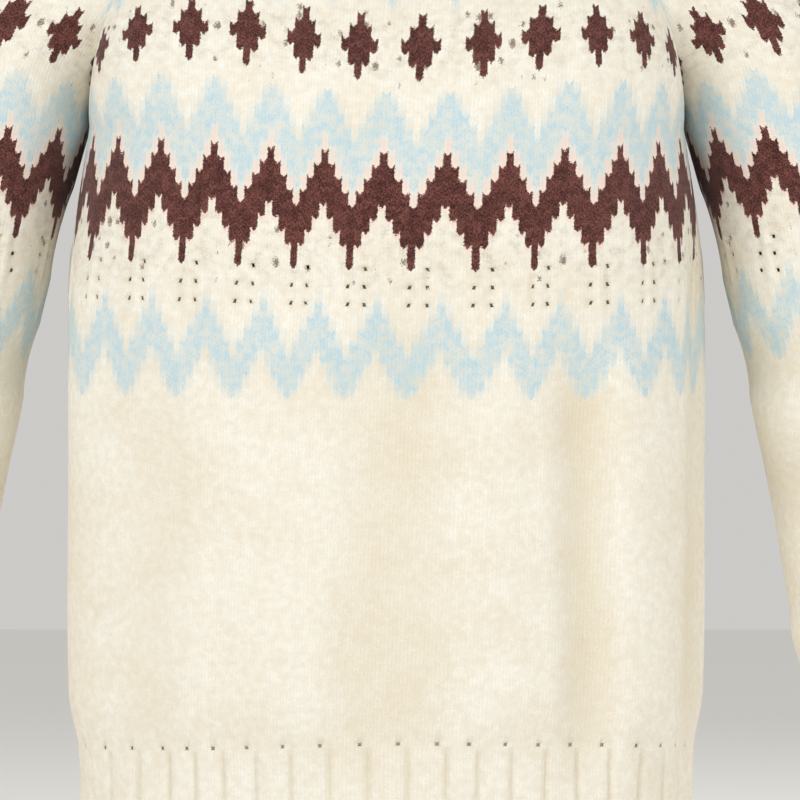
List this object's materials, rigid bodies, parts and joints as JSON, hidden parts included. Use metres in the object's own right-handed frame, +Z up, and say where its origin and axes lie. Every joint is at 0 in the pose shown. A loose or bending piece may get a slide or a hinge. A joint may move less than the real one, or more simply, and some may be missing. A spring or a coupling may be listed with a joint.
{
  "type": "patterned knitted jumper, worn shape",
  "caption": "Cream wool jumper in worn shape, with traditional stranded zigzag and diamond bands, small openwork rows and ribbed hem, cuffs and neck.",
  "frame": {"origin": "middle of the neck opening, level with the tops of the shoulders that carry the jumper", "axes": "+Z up, -Y towards the front of the jumper, +X towards the wearer's left"},
  "size_m": [0.6408, 0.2475, 0.6272],
  "materials": {
    "patterned_wool": "soft four-ply lambswool in stocking stitch, lightly felted, with maroon and pale blue stranded bands",
    "ribbed_wool": "soft four-ply lambswool in broad rib, cream"
  },
  "bodies": {
    "root": {"front": "patterned_wool", "back": "patterned_wool", "sleeve_left": "patterned_wool", "sleeve_right": "patterned_wool", "hem_rib": "ribbed_wool", "cuff_left": "ribbed_wool", "cuff_right": "ribbed_wool", "neckband": "ribbed_wool"}
  },
  "joints": []
}
